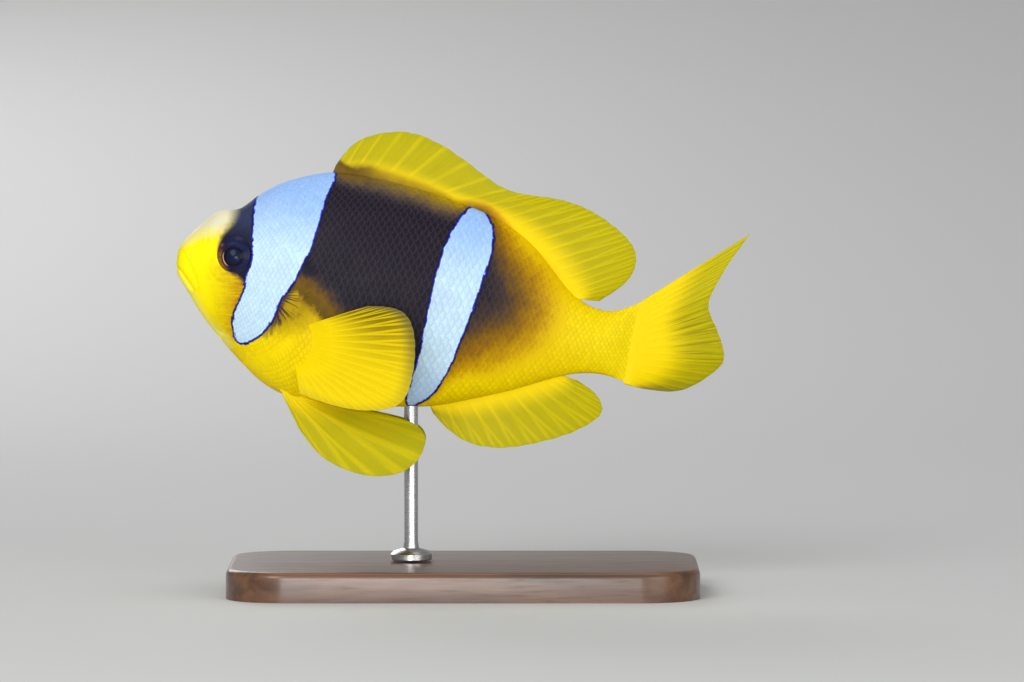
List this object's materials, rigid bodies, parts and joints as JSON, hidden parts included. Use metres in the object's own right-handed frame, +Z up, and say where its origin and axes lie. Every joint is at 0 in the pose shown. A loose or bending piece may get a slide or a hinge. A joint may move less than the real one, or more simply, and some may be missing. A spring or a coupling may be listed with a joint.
{
  "type": "clownfish model on display stand",
  "caption": "Life-size two-banded clownfish swimming nose-up with fins spread, held by a rod on a flat base.",
  "frame": {"origin": "middle of the underside of the stand's base, on the surface it stands on", "axes": "+X towards the tail, -Y the fish's left flank, +Z up"},
  "size_m": [0.1148, 0.056, 0.0921],
  "materials": {
    "skin": "satin scaled skin, yellow with dark brown back and two pale blue-white bands edged dark blue",
    "fin": "satin lemon-yellow rayed membrane",
    "eye": "glossy dark eye with a thin copper ring",
    "stand_base": "dark walnut, satin varnish",
    "stand_rod": "brushed steel"
  },
  "bodies": {
    "root": {"head": "skin", "snout": "skin", "lower_jaw": "skin", "operculum_left": "skin", "operculum_right": "skin", "trunk_front": "skin", "trunk_middle": "skin", "trunk_rear": "skin", "tail_stalk": "skin", "dorsal_fin_spiny": "fin", "dorsal_fin_soft": "fin", "anal_fin": "fin", "caudal_fin": "fin", "pectoral_fin_left": "fin", "pectoral_fin_right": "fin", "pelvic_fin_left": "fin", "pelvic_fin_right": "fin", "eye_left": "eye", "eye_right": "eye", "stand_base": "stand_base", "stand_rod": "stand_rod"}
  },
  "joints": []
}
